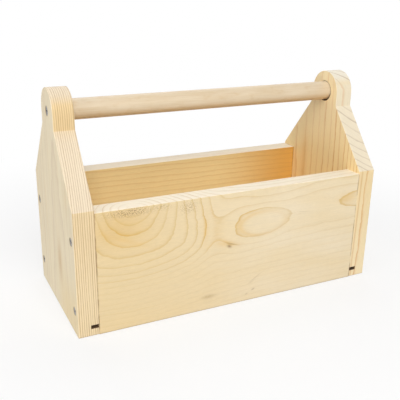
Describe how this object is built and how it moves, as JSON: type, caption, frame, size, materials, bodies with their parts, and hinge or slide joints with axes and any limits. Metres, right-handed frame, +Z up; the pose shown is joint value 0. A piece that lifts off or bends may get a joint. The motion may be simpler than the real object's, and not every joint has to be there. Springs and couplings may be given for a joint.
{
  "type": "wooden tool tote",
  "caption": "Open wooden tool tote with gabled end boards, low front and back panels, a grooved-in bottom and a round rod handle across the top.",
  "frame": {"origin": "middle of the footprint, on the floor that the tote stands on", "axes": "+X along the tote and its handle, towards the right end board; the front panel faces -Y; +Z is up"},
  "size_m": [0.3, 0.13, 0.2],
  "materials": {
    "pale_board": "planed bare softwood, matt",
    "warm_board": "planed bare softwood, matt",
    "thin_sheet": "sanded thin board, matt",
    "rod_wood": "smooth sanded hardwood, matt",
    "screw_steel": "dull zinc plate"
  },
  "bodies": {
    "root": {"end_board_left": "pale_board", "end_board_right": "warm_board", "front_panel": "pale_board", "back_panel": "warm_board", "bottom_panel": "thin_sheet", "handle_rod": "rod_wood", "screw_front_left_lower": "screw_steel", "screw_front_left_upper": "screw_steel", "screw_back_left_lower": "screw_steel", "screw_back_left_upper": "screw_steel", "screw_handle_left": "screw_steel", "screw_front_right_lower": "screw_steel", "screw_front_right_upper": "screw_steel", "screw_back_right_lower": "screw_steel", "screw_back_right_upper": "screw_steel", "screw_handle_right": "screw_steel"}
  },
  "joints": []
}
